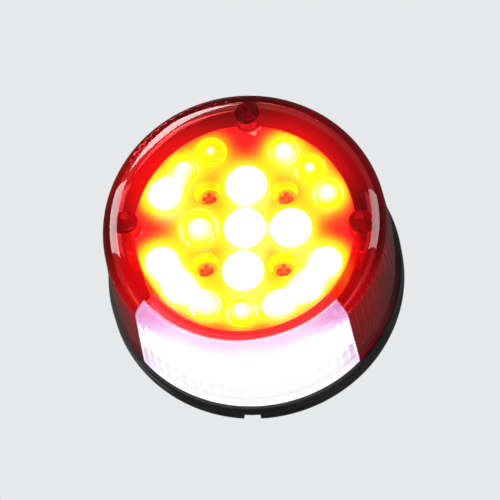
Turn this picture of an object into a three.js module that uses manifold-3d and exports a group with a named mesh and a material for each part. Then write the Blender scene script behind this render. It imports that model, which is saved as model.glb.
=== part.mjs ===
// A round LED tail light with a number-plate light, for the tail cowl of a motorcycle.
//
// The row frame has +Z up and the lens facing -Y. Its origin is the centre of the mounting face,
// the back of the rubber gasket that lies on the cowl. Everything is modelled in a lamp frame
// that is turned into place at the end: x to the right, y up, and z the depth in front of the
// mounting face, so the studs and the cable gland behind the face have a negative depth.
// All sizes are in millimetres and all angles in degrees.
import * as THREE from "three";
import { mergeVertices } from "three/addons/utils/BufferGeometryUtils.js";
import Module from "manifold-3d";

const wasm = await Module();
wasm.setup();

// ---------------------------------------------------------------- driving dimensions

const GAP = 0.3; // air between neighbouring pieces
const PAST = 1; // how far a cutting tool reaches past the face that it opens
const MELD = 0.1; // how far solids that become one piece reach into each other
const FINE = 48; // sides of the large rings
const ROUND = 16; // sides of the small round pieces
const SLIM = 12; // sides of the screws, LEDs and reflector cups
const DOWN = -90; // the direction of the number plate

const LAMP_RADIUS = 28;
const GASKET_DEPTH = 2;
const COWL_WALL = 3; // the sheet that the gasket and the washers clamp

const HOUSING_BACK = GASKET_DEPTH + GAP;
const HOUSING_FACE = HOUSING_BACK + 3;
const COLLAR = { inner: 22.9, outer: 24.4, top: HOUSING_FACE + 4.7 };
const POST = { lensScrew: 2.6, boardScrew: 2.3, stud: 5.9, studHeight: 1.9, blindFloor: 1.2 };
const SEAL = { inner: 25.6, outer: 26.7, thickness: 0.9 };

const LENS_BASE = HOUSING_FACE + GAP;
const LENS_WALL = { baseOuter: 27.4, baseInner: 24.9, topOuter: 26.6, topInner: 24.3 };
const SHOULDER = { depth: 26.6, outer: 5, inner: 2.7 };
const LENS_CROWN = 0.6;
const LENS_BOSS = { orbit: 21.9, radius: 2.3, angles: [0, 90, 180], holeDepth: 8 };
const WINDOW = { halfAngle: 48, inner: 24.1 };

const BOARD = { radius: 20.9, back: HOUSING_FACE + 11.4, thickness: 1.6 };
const LED = { radius: 2.5, flange: 2.9, flangeHeight: 1, height: 8.6 };
const QUARTERS = [0, 90, 180, 270];
const LED_RINGS = [
  { orbit: 0, mouth: 3.9, angles: [0] },
  { orbit: 8.6, mouth: 3.9, angles: QUARTERS },
  // Groups of three, with room for the lens bosses between them. One more fills the gap at the bottom.
  { orbit: 16.8, mouth: 2.95, angles: [...QUARTERS.flatMap((q) => [q + 24, q + 45, q + 66]), 270] },
];
const REFLECTOR = { back: BOARD.back + 3.25, front: BOARD.back + 9.5, throat: 2.78 };
const BOARD_SCREW = {
  orbit: 10.2,
  angles: QUARTERS.map((q) => q + 45),
  shank: 1.1,
  head: 2.2,
  headHeight: 1.6,
};
const WELL = { radius: 2.5, floor: REFLECTOR.back + 1.2 };

// The components keep clear of the LEDs' legs. Each string resistor feeds three LEDs in series.
const STRING_RESISTOR = { width: 1.6, height: 3.2, thickness: 0.6 };
const STRING_RESISTORS = { orbit: 13.8, angles: [40, 0, -40, -140, 180, 140] };
const DIMMING_RESISTOR = { width: 6.3, height: 3.2, thickness: 0.7, at: [0, -12.6] };
const REGULATOR = { width: 3.4, height: 2.9, thickness: 1.2, at: [-3.8, 3.5] };
const DIODE = { width: 4.2, height: 2.5, thickness: 2, at: [3.8, -3.5] };
const TERMINAL = { width: 8.8, height: 4.2, thickness: 1.9, at: [0, 13] };

const DIVIDER = { inner: 21.3, outer: 22.1, halfAngle: 49.5, front: 28.6, endWall: 0.8 };
const STRIP = { inner: 22.4, outer: 22.75, halfAngle: 42, depth: 16.5, width: 9 };
const WHITE_LED = { back: 23, front: 24, across: 3.5, along: 2.8, spread: 32 };

const STUD = { offset: 15, radius: 2.4, end: -18, chamfer: 0.6, headAcross: 8, headHeight: 2.5 };
const THREAD_HOLE = STUD.radius + GAP; // the bore of the nuts and washers
const WASHER = { outer: 5, thickness: 1 };
const SPRING_WASHER = { outer: 4.6, thickness: 1.2, split: 1 };
const NUT = { across: 8, height: 4 };
const LENS_SCREW = { shank: 1.05, head: 2.5, headHeight: 1.5, recess: 2 };

const GLAND = { y: 12.4, bore: 3, neck: 4.9, flange: 6.1, inside: 1.3, recess: 0.5 };
const NOSE = { root: 5.3, end: 4.3, straight: -1, length: -9 };
const VENT = { y: -14, cap: 3.2, stem: 1.2, slot: 3.2, recess: 0.5 };

// ---------------------------------------------------------------- making solids

const radians = THREE.MathUtils.degToRad;

/** The point at this distance and angle from the lamp's axis. */
function polar(radius, angle) {
  return [radius * Math.cos(radians(angle)), radius * Math.sin(radians(angle))];
}

/** A closed three.js geometry as a solid that can be joined to others and cut. */
function solid(geometry) {
  const bare = geometry.index ? geometry.toNonIndexed() : geometry.clone();
  bare.deleteAttribute("normal");
  bare.deleteAttribute("uv");
  const merged = mergeVertices(bare, 1e-4);
  const vertProperties = merged.attributes.position.array;
  const triVerts = new Uint32Array(merged.index.array);
  return new wasm.Manifold(new wasm.Mesh({ numProp: 3, vertProperties, triVerts }));
}

/** A solid as a three.js geometry. */
function geometryOf(body) {
  const mesh = body.getMesh();
  const geometry = new THREE.BufferGeometry();
  geometry.setAttribute("position", new THREE.BufferAttribute(mesh.vertProperties, 3));
  geometry.setIndex(new THREE.BufferAttribute(mesh.triVerts, 1));
  geometry.computeVertexNormals();
  return geometry;
}

/**
 * A solid turned round the lamp's axis, or round a line beside it at (x, y). The profile is a list
 * of [radius, depth] and runs up its outer side; it ends on the axis or closes on itself.
 */
function turned(profile, [x, y] = [0, 0], sides = ROUND) {
  const points = profile.map(([radius, depth]) => new THREE.Vector2(radius, depth));
  const ends = [points[0], points.at(-1)];
  if (ends.some((point) => point.x > 0)) points.push(points[0].clone());
  const geometry = new THREE.LatheGeometry(points, sides);
  geometry.rotateX(Math.PI / 2);
  geometry.translate(x, y, 0);
  return solid(geometry);
}

/** A round bar between two depths, centred on (x, y). */
function bar(radius, from, to, at, sides) {
  const profile = [
    [0, from],
    [radius, from],
    [radius, to],
    [0, to],
  ];
  return turned(profile, at, sides);
}

/** A round bar with a hole along it. */
function tube(inner, outer, from, to, at, sides) {
  const profile = [
    [inner, from],
    [outer, from],
    [outer, to],
    [inner, to],
  ];
  return turned(profile, at, sides);
}

/** A ring round the lamp's axis. */
function ring(inner, outer, from, to) {
  return tube(inner, outer, from, to, [0, 0], FINE);
}

/** A disc on the lamp's axis. */
function disc(radius, from, to) {
  return bar(radius, from, to, [0, 0], FINE);
}

/** A flat outline, drawn in x and y, given thickness between two depths. */
function slab(shape, from, to) {
  const options = { depth: to - from, bevelEnabled: false, curveSegments: SLIM };
  const geometry = new THREE.ExtrudeGeometry(shape, options);
  geometry.translate(0, 0, from);
  return solid(geometry);
}

/** The outline of a sector of a ring, centred on the downward direction. */
function sector(inner, outer, halfAngle) {
  const first = radians(DOWN - halfAngle);
  const last = radians(DOWN + halfAngle);
  const shape = new THREE.Shape();
  shape.absarc(0, 0, outer, first, last, false);
  shape.absarc(0, 0, inner, last, first, true);
  shape.closePath();
  return shape;
}

/** A six-sided bar of this width across its flats. */
function hexagon(across, from, to, at) {
  return bar(across / 2 / Math.cos(radians(30)), from, to, at, 6);
}

/** A rectangular block between two depths, centred on (x, y). */
function block(width, height, from, to, [x, y], angle = 0) {
  const geometry = new THREE.BoxGeometry(width, height, to - from);
  geometry.rotateZ(radians(angle));
  geometry.translate(x, y, (from + to) / 2);
  return solid(geometry);
}

/** The points of an arc in a profile, in equal steps. */
function arc([radius, depth], size, from, to, steps) {
  return Array.from({ length: steps + 1 }, (_, step) => {
    const angle = radians(from + ((to - from) * step) / steps);
    return [radius + size * Math.cos(angle), depth + size * Math.sin(angle)];
  });
}

const joined = (solids) => solids.reduce((sum, next) => sum.add(next));
const cut = (body, tools) => tools.reduce((rest, tool) => rest.subtract(tool), body);

// ---------------------------------------------------------------- materials and the lamp's group

function finish(color, roughness, metalness = 0) {
  return new THREE.MeshStandardMaterial({ color, roughness, metalness });
}

function seeThrough(color, roughness, opacity) {
  return new THREE.MeshStandardMaterial({ color, roughness, opacity, transparent: true });
}

const finishes = {
  blackNylon: finish(0x141416, 0.55),
  rubber: finish(0x0d0d0e, 0.8),
  redLens: seeThrough(0xc4060a, 0.06, 0.55),
  clearLens: seeThrough(0xf4f2ff, 0.12, 0.6),
  redLed: finish(0xff4a1c, 0.15),
  whiteLed: finish(0xf8f4ff, 0.3),
  mirror: finish(0xd9d9dc, 0.15, 1),
  whitePlastic: finish(0xe9e9e6, 0.5),
  board: finish(0x0f5a33, 0.45),
  flexBoard: finish(0xe6e2d4, 0.5),
  steel: finish(0xb9bcc0, 0.3, 1),
  chip: finish(0x17171a, 0.5),
};

const lamp = new THREE.Group();
lamp.rotation.x = Math.PI / 2;

/** Puts one named piece into the lamp, or into a group inside it. */
function piece(name, body, material, group = lamp) {
  const mesh = new THREE.Mesh(geometryOf(body), material);
  mesh.name = name;
  group.add(mesh);
}

// ---------------------------------------------------------------- places that several pieces share

const boardFace = BOARD.back + BOARD.thickness;
const lensScrewPlaces = LENS_BOSS.angles.map((angle) => polar(LENS_BOSS.orbit, angle));
const boardScrewPlaces = BOARD_SCREW.angles.map((angle) => polar(BOARD_SCREW.orbit, angle));
const studPlaces = [-STUD.offset, STUD.offset].map((x) => [x, 0]);
const glandPlace = [0, GLAND.y];
const ventPlace = [0, VENT.y];
const leds = LED_RINGS.flatMap(({ orbit, mouth, angles }) =>
  angles.map((angle) => ({ at: polar(orbit, angle), mouth })),
);

// ---------------------------------------------------------------- gasket, housing and seal

function gasket() {
  const back = -PAST;
  const front = GASKET_DEPTH + PAST;
  const slotMiddle = [0, VENT.y - LAMP_RADIUS / 2];
  return cut(disc(LAMP_RADIUS, 0, GASKET_DEPTH), [
    ...studPlaces.map((at) => bar(STUD.radius + 2 * GAP, back, front, at)),
    bar(GLAND.flange + 2 * GAP, back, front, glandPlace),
    bar(VENT.cap + 2 * GAP, back, front, ventPlace),
    block(VENT.slot, LAMP_RADIUS, back, front, slotMiddle),
  ]);
}

function housing() {
  const root = HOUSING_FACE - PAST;
  const behind = HOUSING_BACK - PAST;
  const inFront = COLLAR.top + PAST;
  const studPostTop = HOUSING_FACE + POST.studHeight;
  const sealSeat = HOUSING_FACE - SEAL.thickness - GAP;
  const shell = joined([
    disc(LAMP_RADIUS, HOUSING_BACK, HOUSING_FACE),
    ring(COLLAR.inner, COLLAR.outer, root, COLLAR.top),
    ...boardScrewPlaces.map((at) => bar(POST.boardScrew, root, BOARD.back - GAP, at, SLIM)),
    ...lensScrewPlaces.map((at) => bar(POST.lensScrew, root, COLLAR.top, at)),
    ...studPlaces.map((at) => bar(POST.stud, root, studPostTop, at)),
  ]);
  return cut(shell, [
    ring(SEAL.inner - GAP, SEAL.outer + GAP, sealSeat, inFront),
    ...boardScrewPlaces.map((at) =>
      bar(BOARD_SCREW.shank + GAP, HOUSING_BACK + POST.blindFloor, BOARD.back, at, SLIM),
    ),
    ...lensScrewPlaces.flatMap((at) => [
      bar(LENS_SCREW.shank + GAP, behind, inFront, at, SLIM),
      bar(LENS_SCREW.head + GAP, behind, HOUSING_BACK + LENS_SCREW.recess, at),
    ]),
    ...studPlaces.flatMap((at) => [
      bar(STUD.radius + GAP, behind, inFront, at),
      hexagon(STUD.headAcross + 2 * GAP, HOUSING_FACE, inFront, at),
    ]),
    bar(GLAND.neck + GAP, behind, inFront, glandPlace),
    bar(VENT.stem + GAP, behind, inFront, ventPlace, SLIM),
  ]);
}

piece("mounting_gasket", gasket(), finishes.rubber);
piece("housing", housing(), finishes.blackNylon);
piece(
  "lens_seal",
  ring(SEAL.inner, SEAL.outer, HOUSING_FACE - SEAL.thickness, HOUSING_FACE),
  finishes.rubber,
);

// ---------------------------------------------------------------- red lens and plate window

/** The whole drum of the lens, before the plate window is parted from it. */
function drum() {
  const outer = [LENS_WALL.topOuter - SHOULDER.outer, SHOULDER.depth];
  const inner = [LENS_WALL.topInner - SHOULDER.inner, SHOULDER.depth];
  const outerFace = SHOULDER.depth + SHOULDER.outer;
  const innerFace = SHOULDER.depth + SHOULDER.inner;
  const quarterCrown = 0.75 * LENS_CROWN; // the rise of a shallow dome halfway out
  const profile = [
    [LENS_WALL.baseInner, LENS_BASE],
    [LENS_WALL.baseOuter, LENS_BASE],
    ...arc(outer, SHOULDER.outer, 0, 90, 6),
    [outer[0] / 2, outerFace + quarterCrown],
    [0, outerFace + LENS_CROWN],
    [0, innerFace + LENS_CROWN],
    [inner[0] / 2, innerFace + quarterCrown],
    ...arc(inner, SHOULDER.inner, 90, 0, 4),
  ];
  return turned(profile, [0, 0], FINE);
}

/** The space that the plate window takes up in the drum, grown by some clearance. */
function windowSpace(clearance) {
  const extraAngle = THREE.MathUtils.radToDeg(clearance / WINDOW.inner);
  const shape = sector(WINDOW.inner - clearance, LAMP_RADIUS + PAST, WINDOW.halfAngle + extraAngle);
  return slab(shape, LENS_BASE - PAST, SHOULDER.depth + SHOULDER.outer + LENS_CROWN + PAST);
}

function redLens() {
  const bossEnd = SHOULDER.depth + SHOULDER.outer - PAST;
  const bosses = lensScrewPlaces.map((at) => bar(LENS_BOSS.radius, COLLAR.top + GAP, bossEnd, at, SLIM));
  const holes = lensScrewPlaces.map((at) =>
    bar(LENS_SCREW.shank + GAP, COLLAR.top, COLLAR.top + LENS_BOSS.holeDepth, at, SLIM),
  );
  return cut(joined([drum(), ...bosses]), [...holes, windowSpace(GAP)]);
}

piece("red_lens", redLens(), finishes.redLens);
piece("plate_light_window", drum().intersect(windowSpace(0)), finishes.clearLens);

// ---------------------------------------------------------------- red light: board, LEDs, reflector

function ledBoard() {
  const front = boardFace + PAST;
  return cut(disc(BOARD.radius, BOARD.back, boardFace), [
    ...boardScrewPlaces.map((at) => bar(BOARD_SCREW.shank + GAP, 0, front, at, SLIM)),
    ...lensScrewPlaces.map((at) => bar(POST.lensScrew + GAP, 0, front, at)),
  ]);
}

function reflector() {
  const front = REFLECTOR.front + PAST;
  const cup = (mouth) => [
    [0, REFLECTOR.back - MELD],
    [REFLECTOR.throat, REFLECTOR.back - MELD],
    [mouth, REFLECTOR.front + MELD],
    [0, REFLECTOR.front + MELD],
  ];
  return cut(disc(BOARD.radius, REFLECTOR.back, REFLECTOR.front), [
    ...leds.map(({ at, mouth }) => turned(cup(mouth), at, SLIM)),
    ...boardScrewPlaces.map((at) => bar(BOARD_SCREW.shank + GAP, 0, front, at, SLIM)),
    ...boardScrewPlaces.map((at) => bar(WELL.radius, WELL.floor, front, at, SLIM)),
    ...lensScrewPlaces.map((at) => bar(LENS_BOSS.radius + GAP, 0, front, at)),
  ]);
}

/** A domed LED with the flange at its base, standing on the board. */
function led(at) {
  const base = boardFace + GAP;
  const domeCentre = [0, base + LED.height - LED.radius];
  const profile = [
    [0, base],
    [LED.flange, base],
    [LED.flange, base + LED.flangeHeight],
    [LED.radius, base + LED.flangeHeight],
    ...arc(domeCentre, LED.radius, 0, 90, 3),
  ];
  return turned(profile, at, SLIM);
}

/** A cheese-headed screw from the reflector's well down into its housing post. */
function boardScrew(at) {
  const seat = WELL.floor + GAP;
  const tip = HOUSING_BACK + POST.blindFloor + GAP;
  return joined([
    bar(BOARD_SCREW.head, seat, seat + BOARD_SCREW.headHeight, at, SLIM),
    bar(BOARD_SCREW.shank, tip, seat + MELD, at, SLIM),
  ]);
}

piece("led_board", ledBoard(), finishes.board);
piece("reflector", reflector(), finishes.mirror);
leds.forEach(({ at }, index) => {
  piece(`red_led_${String(index + 1).padStart(2, "0")}`, led(at), finishes.redLed);
});
boardScrewPlaces.forEach((at, index) => {
  piece(`board_screw_${index + 1}`, boardScrew(at), finishes.steel);
});

// ---------------------------------------------------------------- components behind the board

/** A flat component soldered to the back of the board. */
function component({ width, height, thickness, at }, angle = 0) {
  const front = BOARD.back - GAP;
  return block(width, height, front - thickness, front, at, angle);
}

STRING_RESISTORS.angles.forEach((angle, index) => {
  const at = polar(STRING_RESISTORS.orbit, angle);
  piece(`string_resistor_${index + 1}`, component({ ...STRING_RESISTOR, at }, angle), finishes.chip);
});
piece("dimming_resistor", component(DIMMING_RESISTOR), finishes.chip);
piece("voltage_regulator", component(REGULATOR), finishes.chip);
piece("protection_diode", component(DIODE), finishes.chip);
piece("wire_terminal", component(TERMINAL), finishes.whitePlastic);

// ---------------------------------------------------------------- white light for the number plate

/** The wall that keeps the red and the white light apart: an arc with two short end walls. */
function divider() {
  const endOuter = LENS_WALL.topInner - GAP;
  const endInner = DIVIDER.outer - MELD;
  const endMiddle = (endInner + endOuter) / 2;
  const ends = [-1, 1].map((side) => {
    const angle = DOWN + side * DIVIDER.halfAngle;
    const at = polar(endMiddle, angle);
    return block(endOuter - endInner, DIVIDER.endWall, COLLAR.top + GAP, SHOULDER.depth, at, angle);
  });
  const wall = sector(DIVIDER.inner, DIVIDER.outer, DIVIDER.halfAngle);
  return joined([slab(wall, HOUSING_FACE + GAP, DIVIDER.front), ...ends]);
}

function plateLightBoard() {
  const shape = sector(STRIP.inner, STRIP.outer, STRIP.halfAngle);
  return slab(shape, STRIP.depth - STRIP.width / 2, STRIP.depth + STRIP.width / 2);
}

/** A flat LED that faces outwards from the strip at this angle. */
function whiteLed(angle) {
  const height = WHITE_LED.front - WHITE_LED.back;
  const geometry = new THREE.BoxGeometry(height, WHITE_LED.along, WHITE_LED.across);
  geometry.translate(WHITE_LED.back + height / 2, 0, STRIP.depth);
  geometry.rotateZ(radians(angle));
  return solid(geometry);
}

piece("light_divider", divider(), finishes.whitePlastic);
piece("plate_light_board", plateLightBoard(), finishes.flexBoard);
[-1, 0, 1].forEach((side, index) => {
  piece(`white_led_${index + 1}`, whiteLed(DOWN + side * WHITE_LED.spread), finishes.whiteLed);
});

// ---------------------------------------------------------------- lens screws, gland and breather

/** A pan-headed screw put in from behind, its head sunk in the housing's back. */
function lensScrew(at) {
  const headFront = HOUSING_BACK + LENS_SCREW.recess - GAP;
  const tip = COLLAR.top + LENS_BOSS.holeDepth - PAST;
  return joined([
    bar(LENS_SCREW.head, headFront - LENS_SCREW.headHeight, headFront, at, SLIM),
    bar(LENS_SCREW.shank, headFront - MELD, tip, at, SLIM),
  ]);
}

/** A rubber gland with a flange on either side of the housing's wall and a nose for the cable. */
function cableGland() {
  const innerSeat = HOUSING_FACE + GAP;
  const profile = [
    [GLAND.bore, NOSE.length],
    [NOSE.end, NOSE.length],
    [NOSE.root, NOSE.straight],
    [NOSE.root, GLAND.recess],
    [GLAND.flange, GLAND.recess],
    [GLAND.flange, GASKET_DEPTH],
    [GLAND.neck, GASKET_DEPTH],
    [GLAND.neck, innerSeat],
    [GLAND.flange, innerSeat],
    [GLAND.flange, innerSeat + GLAND.inside],
    [GLAND.bore, innerSeat + GLAND.inside],
  ];
  return turned(profile, glandPlace);
}

function breatherCap() {
  return joined([
    bar(VENT.cap, VENT.recess, GASKET_DEPTH, ventPlace),
    bar(VENT.stem, GASKET_DEPTH - MELD, HOUSING_FACE + GAP, ventPlace, SLIM),
  ]);
}

lensScrewPlaces.forEach((at, index) => {
  piece(`lens_screw_${index + 1}`, lensScrew(at), finishes.steel);
});
piece("cable_gland", cableGland(), finishes.rubber);
piece("breather_cap", breatherCap(), finishes.blackNylon);

// ---------------------------------------------------------------- studs, washers and nuts

/** A stud whose six-sided head sits in the housing's pocket. */
function stud() {
  const seat = HOUSING_FACE + GAP;
  const shank = turned([
    [0, STUD.end],
    [STUD.radius - STUD.chamfer, STUD.end],
    [STUD.radius, STUD.end + STUD.chamfer],
    [STUD.radius, seat + MELD],
    [0, seat + MELD],
  ]);
  return joined([shank, hexagon(STUD.headAcross, seat, seat + STUD.headHeight)]);
}

function splitRing(back, front) {
  const whole = tube(THREAD_HOLE, SPRING_WASHER.outer, back, front);
  const middle = [0, (THREAD_HOLE + SPRING_WASHER.outer) / 2];
  const across = SPRING_WASHER.outer - THREAD_HOLE + PAST;
  return whole.subtract(block(SPRING_WASHER.split, across, back - PAST, front + PAST, middle));
}

function nut(back, front) {
  return hexagon(NUT.across, back, front).subtract(bar(THREAD_HOLE, back - PAST, front + PAST));
}

const washerFront = -COWL_WALL;
const washerBack = washerFront - WASHER.thickness;
const springFront = washerBack - GAP;
const springBack = springFront - SPRING_WASHER.thickness;
const nutFront = springBack - GAP;

["left", "right"].forEach((side, index) => {
  const fastening = new THREE.Group();
  fastening.position.set(...studPlaces[index], 0);
  lamp.add(fastening);
  const plainWasher = tube(THREAD_HOLE, WASHER.outer, washerBack, washerFront);
  piece(`${side}_stud`, stud(), finishes.steel, fastening);
  piece(`${side}_washer`, plainWasher, finishes.steel, fastening);
  piece(`${side}_spring_washer`, splitRing(springBack, springFront), finishes.steel, fastening);
  piece(`${side}_nut`, nut(nutFront - NUT.height, nutFront), finishes.steel, fastening);
});

export default lamp;
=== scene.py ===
"""The looks of a round LED motorcycle tail light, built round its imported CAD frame.

Shapes are worked out in the lamp's own frame, in millimetres: x to the right, y up, and z the
depth in front of the mounting face. lamp_to_row() turns them into the row frame, in metres.
Angles are in degrees, and -90 points down, to the number plate.
"""
import math

import bmesh
import bpy
import numpy as np
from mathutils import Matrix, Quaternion, Vector

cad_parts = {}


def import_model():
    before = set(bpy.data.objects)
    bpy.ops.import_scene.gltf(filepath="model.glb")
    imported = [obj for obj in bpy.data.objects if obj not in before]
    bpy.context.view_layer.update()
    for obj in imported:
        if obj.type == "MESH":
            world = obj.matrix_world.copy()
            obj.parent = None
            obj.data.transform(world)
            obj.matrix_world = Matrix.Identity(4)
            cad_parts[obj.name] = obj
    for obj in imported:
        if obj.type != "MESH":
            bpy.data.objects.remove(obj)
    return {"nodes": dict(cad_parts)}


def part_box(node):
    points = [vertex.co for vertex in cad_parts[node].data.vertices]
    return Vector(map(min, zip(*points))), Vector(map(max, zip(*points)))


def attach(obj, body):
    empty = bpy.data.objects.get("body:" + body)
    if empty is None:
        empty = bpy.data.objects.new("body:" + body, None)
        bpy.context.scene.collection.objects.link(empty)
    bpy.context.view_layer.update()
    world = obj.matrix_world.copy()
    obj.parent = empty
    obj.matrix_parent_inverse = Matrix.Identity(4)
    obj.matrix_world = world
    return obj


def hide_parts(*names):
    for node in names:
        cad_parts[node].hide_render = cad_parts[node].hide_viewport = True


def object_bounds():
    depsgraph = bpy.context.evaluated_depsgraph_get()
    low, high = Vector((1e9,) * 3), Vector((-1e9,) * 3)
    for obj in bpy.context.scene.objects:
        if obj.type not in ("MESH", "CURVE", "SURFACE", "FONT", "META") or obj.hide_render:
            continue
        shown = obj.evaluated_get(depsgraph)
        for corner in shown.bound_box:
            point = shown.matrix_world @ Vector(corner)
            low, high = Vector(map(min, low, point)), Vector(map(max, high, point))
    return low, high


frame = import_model()
cad_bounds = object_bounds()

MM = 0.001
FINE = 192  # sides of the large turned pieces
MEDIUM = 72
SMALL = 36
SKIN = 0.03  # how far solids that become one piece reach into each other
PAST = 1.0  # how far a cutting tool reaches past the face that it opens
DOWN = -90


# ---- places from the frame


def lamp_box(node):
    """A CAD node's lowest and highest corners in the lamp's frame."""
    low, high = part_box(node)
    return Vector((low.x, low.z, -high.y)) / MM, Vector((high.x, high.z, -low.y)) / MM


def centre(node):
    low, high = lamp_box(node)
    return (low.x + high.x) / 2, (low.y + high.y) / 2


def depths(node):
    low, high = lamp_box(node)
    return low.z, high.z


def nodes_named(start):
    return sorted(name for name in frame["nodes"] if name.startswith(start))


def polar(radius, angle):
    return radius * math.cos(math.radians(angle)), radius * math.sin(math.radians(angle))


def angle_of(point):
    return math.degrees(math.atan2(point[1], point[0]))


RIM = lamp_box("mounting_gasket")[1].x
GASKET = depths("mounting_gasket")
FACE = depths("lens_seal")[1]  # the housing's face, where the seal ends
HOUSING_BACK = depths("housing")[0]
TOUCH = 0.02  # the gap between pieces that are pressed together
LENS = {"base": FACE + TOUCH, "front": depths("red_lens")[1], "crown": 0.6}
LENS.update(outer=27.4, inner=24.9, top_outer=26.6, top_inner=24.3, bend=5.0, inner_bend=2.7)
SHOULDER = LENS["front"] - LENS["crown"] - LENS["bend"]
WINDOW = {"inner": 24.1, "half_angle": 48.0, "gap": 0.15}
COLLAR = {"inner": 22.9, "outer": 24.4, "top": 10.0}
BOARD = depths("led_board")
BOARD_RADIUS = lamp_box("led_board")[1].x
REFLECTOR = depths("reflector")
RED_LEDS = nodes_named("red_led_")
LED_PLACES = [centre(node) for node in RED_LEDS]
INNER_LEDS = 5  # the first ones have wide cups
# How bright each red LED looks: above 1 it is white-hot through the lens, and 0.5 is only yellow.
LED_POWER = [1.7, 1.5, 1.7, 0.85, 1.5]
LED_POWER += [0.9, 0.55, 0.95, 0.5, 0.8, 1.7, 1.7, 1.7, 1.0, 1.2, 1.5, 1.6, 0.85]
LED_STRENGTH = 15
# The colour of the LEDs' light, painted as glow on the LEDs and on the reflector round them, from where
# there is little of it to where it is white-hot.
LED_LIGHT = [
    (0.0, (0.022, 0.0, 0.0008)),
    (0.03, (0.055, 0.0, 0.001)),
    (0.08, (0.10, 0.015, 0.001)),
    (0.16, (0.2, 0.06, 0.0)),
    (0.32, (0.5, 0.18, 0.0)),
    (0.65, (0.7, 0.26, 0.002)),
    (0.9, (0.85, 0.68, 0.25)),
    (1.2, (1.0, 0.95, 0.95)),
]
BOARD_SCREWS = nodes_named("board_screw_")
LENS_SCREWS = nodes_named("lens_screw_")
STUD_PLACES = {side: centre(f"{side}_stud") for side in ("left", "right")}
GLAND_PLACE = centre("cable_gland")
VENT_PLACE = centre("breather_cap")
PITCH = 0.8
THREAD = {"crest": 2.48, "root": 2.06}
# The thread's height between its root and its crest, along one turn.
THREAD_FORM = [(0.04, 0.0), (0.17, 0.35), (0.29, 0.67), (0.41, 1.0)]
THREAD_FORM += [(0.59, 1.0), (0.71, 0.67), (0.83, 0.35), (0.96, 0.0)]
ACROSS_FLATS = 8
HEAD_HEIGHT = 2.5
WASHER_GROWTH = 0.1  # how much thicker than in the CAD a flat washer is, towards its nut


# ---- outlines


def arc(middle, radius, start, end, steps):
    angles = np.radians(np.linspace(start, end, steps + 1))
    return [(middle[0] + radius * math.cos(a), middle[1] + radius * math.sin(a)) for a in angles]


def circle(radius, at=(0, 0), sides=SMALL):
    return arc(at, radius, 0, 360 * (1 - 1 / sides), sides - 1)


def sector(inner, outer, half_angle, steps=48):
    """The outline of a piece of a ring, centred on the downward direction."""
    low, high = DOWN - half_angle, DOWN + half_angle
    return arc((0, 0), outer, low, high, steps) + arc((0, 0), inner, high, low, steps)


def plate(width, height, corner=0.2, at=(0, 0), turn=0.0):
    """A rectangle with rounded corners."""
    x, y = width / 2 - corner, height / 2 - corner
    points = []
    for start, (cx, cy) in zip((0, 90, 180, 270), ((x, y), (-x, y), (-x, -y), (x, -y))):
        points += arc((cx, cy), corner, start, start + 90, 4)
    c, s = math.cos(math.radians(turn)), math.sin(math.radians(turn))
    return [(at[0] + c * px - s * py, at[1] + s * px + c * py) for px, py in points]


def eased(corners, radius, steps=4):
    """A profile with each of its corners rounded, apart from those on the axis."""
    made = []
    count = len(corners)
    for i, corner in enumerate(corners):
        here = Vector(corner)
        before = Vector(corners[i - 1]) - here
        after = Vector(corners[(i + 1) % count]) - here
        if here.x < SKIN or before.length * after.length == 0:
            made.append(tuple(here))
            continue
        half = before.angle(after) / 2
        reach = min(radius / math.tan(half), 0.45 * before.length, 0.45 * after.length)
        first = here + before.normalized() * reach
        last = here + after.normalized() * reach
        for step in range(steps + 1):
            t = step / steps
            made.append(tuple(first * (1 - t) ** 2 + here * 2 * t * (1 - t) + last * t * t))
    return made


# ---- meshes


def lamp_to_row(points):
    points = np.asarray(points, float)
    return np.stack([points[:, 0], -points[:, 2], points[:, 1]], axis=1) * MM


def shell(name, points, faces):
    mesh = bpy.data.meshes.new(name)
    mesh.from_pydata(lamp_to_row(points).tolist(), [], faces)
    made = bpy.data.objects.new(name, mesh)
    bpy.context.scene.collection.objects.link(made)
    return tidied(made, 0)


def tidied(made, merge=0.002):
    """Merges what a boolean leaves next to each other and points every face outwards."""
    work = bmesh.new()
    work.from_mesh(made.data)
    if merge:
        bmesh.ops.remove_doubles(work, verts=work.verts, dist=merge * MM)
        bmesh.ops.dissolve_degenerate(work, edges=work.edges, dist=merge * MM)
    bmesh.ops.recalc_face_normals(work, faces=work.faces)
    work.to_mesh(made.data)
    work.free()
    return made


def rings(name, rows, closed):
    """A surface over rows of equally many points. A row of one point is a pole."""
    points, starts = [], []
    for row in rows:
        starts.append(len(points))
        points += row
    sides = max(len(row) for row in rows)
    faces = []
    for i in range(len(rows) if closed else len(rows) - 1):
        j = (i + 1) % len(rows)
        for k in range(sides):
            ring = [(i, k), (i, k + 1), (j, k + 1), (j, k)]
            face = [starts[r] + (c % sides if len(rows[r]) > 1 else 0) for r, c in ring]
            face = [v for n, v in enumerate(face) if v != face[n - 1]]
            if len(face) > 2:
                faces.append(face)
    return shell(name, points, faces)


def lathe(name, profile, sides=SMALL, at=(0, 0), shape=None):
    """A solid turned about a line along z through (x, y). The profile's [radius, depth] points
    end on the axis, or it closes on itself. shape(radius, depth, angle) may move a point in or out."""
    rows = []
    for radius, depth in profile:
        if radius < 1e-6:
            rows.append([(at[0], at[1], depth)])
            continue
        row = []
        for k in range(sides):
            angle = 2 * math.pi * k / sides
            r = shape(radius, depth, angle) if shape else radius
            row.append((at[0] + r * math.cos(angle), at[1] + r * math.sin(angle), depth))
        rows.append(row)
    closed = len(rows[0]) > 1 or len(rows[-1]) > 1
    return rings(name, rows, closed)


def rod(name, radius, low, high, at=(0, 0), ease=0.0, sides=SMALL):
    profile = [(0, low), (radius, low), (radius, high), (0, high)]
    return lathe(name, eased(profile, ease) if ease else profile, sides, at)


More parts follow.
